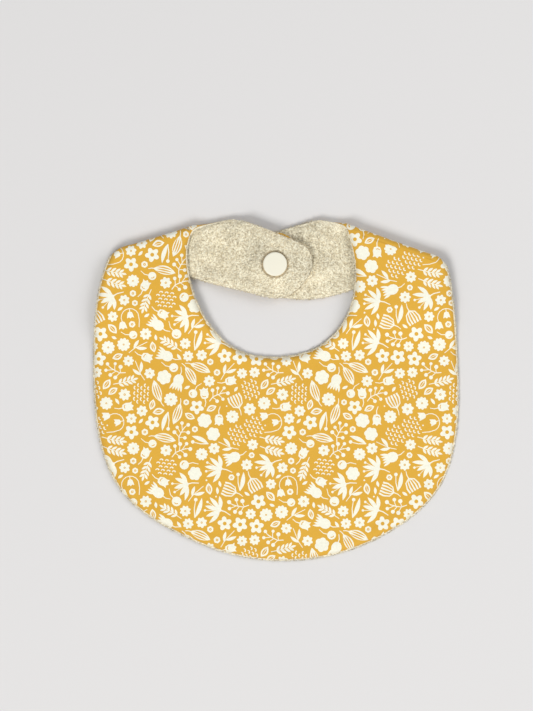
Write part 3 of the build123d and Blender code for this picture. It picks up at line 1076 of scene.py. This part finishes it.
def cut_pieces(names, nodes, cotton_cut, towel_cut, fold, rise, steps, pile, seeds):
    """The pieces of one cut, with their facts: cotton, towelling, its loops, and the seam's stitches."""
    cotton = cotton_sheet(names[0], cotton_cut, fold, rise, steps[0])
    towel = towel_sheet(names[1], towel_cut, fold, rise, steps[1], seeds[0])
    loops = pile_loops(names[2], towel_cut, fold, rise, *pile, seeds[1])
    thread = stitches(names[3], towel_cut, fold, rise)
    cloth_facts(cotton, "printed_cotton", nodes[0])
    cloth_facts(towel, "towelling", nodes[1])
    facts(loops, "towelling")
    facts(thread, "seam_thread", nodes[2])
    return cotton, towel, loops, thread


def strap_pieces(side, turn, *cut_and_lie, seeds):
    """The pieces of a strap. Its cloths are in the CAD twice, as the strap and as its turn."""
    strap = side + "_strap"
    names = [strap + end for end in ("_cotton_cloth", "_towelling_cloth", "_pile", "_seam_stitches")]
    nodes = [[f"{strap}_{cloth}", f"{side}_{turn}_{cloth}"] for cloth in ("cotton", "towelling")]
    return cut_pieces(names, [*nodes, strap + "_seam_thread"], *cut_and_lie, (2.0, 0.6), (3.0, 0.2), seeds)


bib_cotton, outer_cotton, inner_cotton = COTTON_CUTS
bib_pieces = cut_pieces(
    ("cotton_front_cloth", "towelling_back_cloth", "bib_edge_pile", "bib_seam_stitches"),
    (["cotton_front"], ["towelling_back"], "edge_seam_thread"),
    bib_cotton, BIB_CUT, LEFT, None, (2.2, 1.0), (0.0, 0.16), (21, 31),
)
outer_pieces = strap_pieces("outer", "fold", outer_cotton, OUTER_CUT, RIGHT, outer_rise, seeds=(22, 32))
inner_pieces = strap_pieces("inner", "bend", inner_cotton, INNER_CUT, LEFT, inner_rise, seeds=(23, 33))
for piece in bib_pieces:
    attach(piece, "bib")

# The outer strap's pieces, with their places baked into their points. The outer strap's turn:
# from over the axis to under it, within the gap, and tilted so that the strap's own hills count
# as under it
for piece in outer_pieces:
    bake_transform(piece)

# The inner strap's pieces, with their places baked into their points
for piece in inner_pieces:
    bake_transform(piece)


def snap_part(name, profile, steps=64):
    """A closed turned piece: a profile of (radius, height) from axis to axis, carried round a circle."""
    radius, height = np.array(profile).T
    angle = np.linspace(0, 2 * np.pi, steps, endpoint=False)[:, None]
    x = SNAP[0] + radius[1:-1] * np.cos(angle)
    y = SNAP[1] + radius[1:-1] * np.sin(angle)
    ring = np.dstack([x, y, np.tile(height[1:-1], (steps, 1))])
    points = np.vstack([ring.reshape(-1, 3), [(*SNAP, height[0]), (*SNAP, height[-1])]])
    rows = len(profile) - 2
    i, j = np.meshgrid(np.arange(steps), np.arange(rows - 1), indexing="ij")
    a, b = (i * rows + j).ravel(), ((i + 1) % steps * rows + j).ravel()
    first, last = np.arange(steps) * rows, np.arange(steps) * rows + rows - 1
    start, end = np.full(steps, steps * rows), np.full(steps, steps * rows + 1)
    faces = np.vstack([
        np.column_stack([a, b, b + 1]), np.column_stack([a, b + 1, a + 1]),
        np.column_stack([start, np.roll(first, -1), first]), np.column_stack([end, last, np.roll(last, -1)]),
    ])
    return make_mesh(name, points, faces, snap_plastic)


def cap_profile(tip, face, way):
    """A cap's section from its prong's crushed tip to its crown: rounded rim, faint step, low dome."""
    rim = [(5.7, 0.0), (6.05, 0.12), (CAP_R, 0.35), (CAP_R, 0.7), (6.1, 0.95), (5.85, 1.13), (5.5, 1.2)]
    crown = [(r, CAP_H - 0.1 * (r / 4.9) ** 2) for r in (4.2, 3.0, 1.8, 0.8, 0.0)]
    dome = [(5.2, 1.18), (4.9, 1.2)] + crown
    prong = [(0.0, tip), (1.55, tip), (1.55, tip + 0.4 * way), (1.0, tip + 0.4 * way), (1.0, face)]
    return prong + [(r, face + way * h) for r, h in rim + dome]


for side, way in (("inner", 1), ("outer", -1)):
    low, high = (corner.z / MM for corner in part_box(side + "_snap_cap"))
    tip, face = (low, high - CAP_H) if way > 0 else (high, low + CAP_H)
    cap = snap_part(side + "_cap_domed", cap_profile(tip, face, way)[::way])
    facts(cap, "snap_plastic", side + "_snap_cap")
    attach(cap, side + "_strap")
for node in ("snap_stud", "snap_socket"):
    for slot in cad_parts[node].material_slots:
        slot.material = snap_plastic


# Table, light and camera


def table():
    """A plain pale table, just clear of the cloth."""
    mesh = bpy.data.meshes.new("table")
    side, z = 3.0, -0.0004
    corners = [(-side, -side, z), (side, -side, z), (side, side, z), (-side, side, z)]
    mesh.from_pydata(corners, [], [(0, 1, 2, 3)])
    material, _ = shader("pale table", (0.775, 0.765, 0.762, 1), 0.85)
    mesh.materials.append(material)
    put("table", mesh)


def soft_light(name, place_at, power, colour):
    """A large square lamp aimed at the bib."""
    lamp = bpy.data.lights.new(name, "AREA")
    lamp.shape = "SQUARE"
    lamp.size = 1.3
    lamp.energy = power
    lamp.color = colour
    made = put(name, lamp)
    made.location = place_at
    way = -np.array(place_at)
    tilt = np.arccos(-way[2] / np.linalg.norm(way))
    made.rotation_euler = (0, tilt, np.arctan2(way[1], way[0]) + np.pi)


table()
soft_light("window", (-0.9, -1.8, 2.6), 62.0, (1.0, 0.985, 0.955))
soft_light("ceiling", (1.3, 0.5, 1.4), 13.0, (1.0, 1.0, 1.0))
world = bpy.data.worlds.new("room")
world.use_nodes = True
background = world.node_tree.nodes["Background"]
background.inputs["Color"].default_value = (0.96, 0.97, 1.0, 1)
background.inputs["Strength"].default_value = 0.37
bpy.context.scene.world = world
bpy.context.scene.view_settings.view_transform = "Standard"

camera = bpy.data.cameras.new("camera")
camera.lens = 175.2
eye = put("camera", camera)
eye.location = (-0.0048, 0.0178, 1.8)
bpy.context.scene.camera = eye
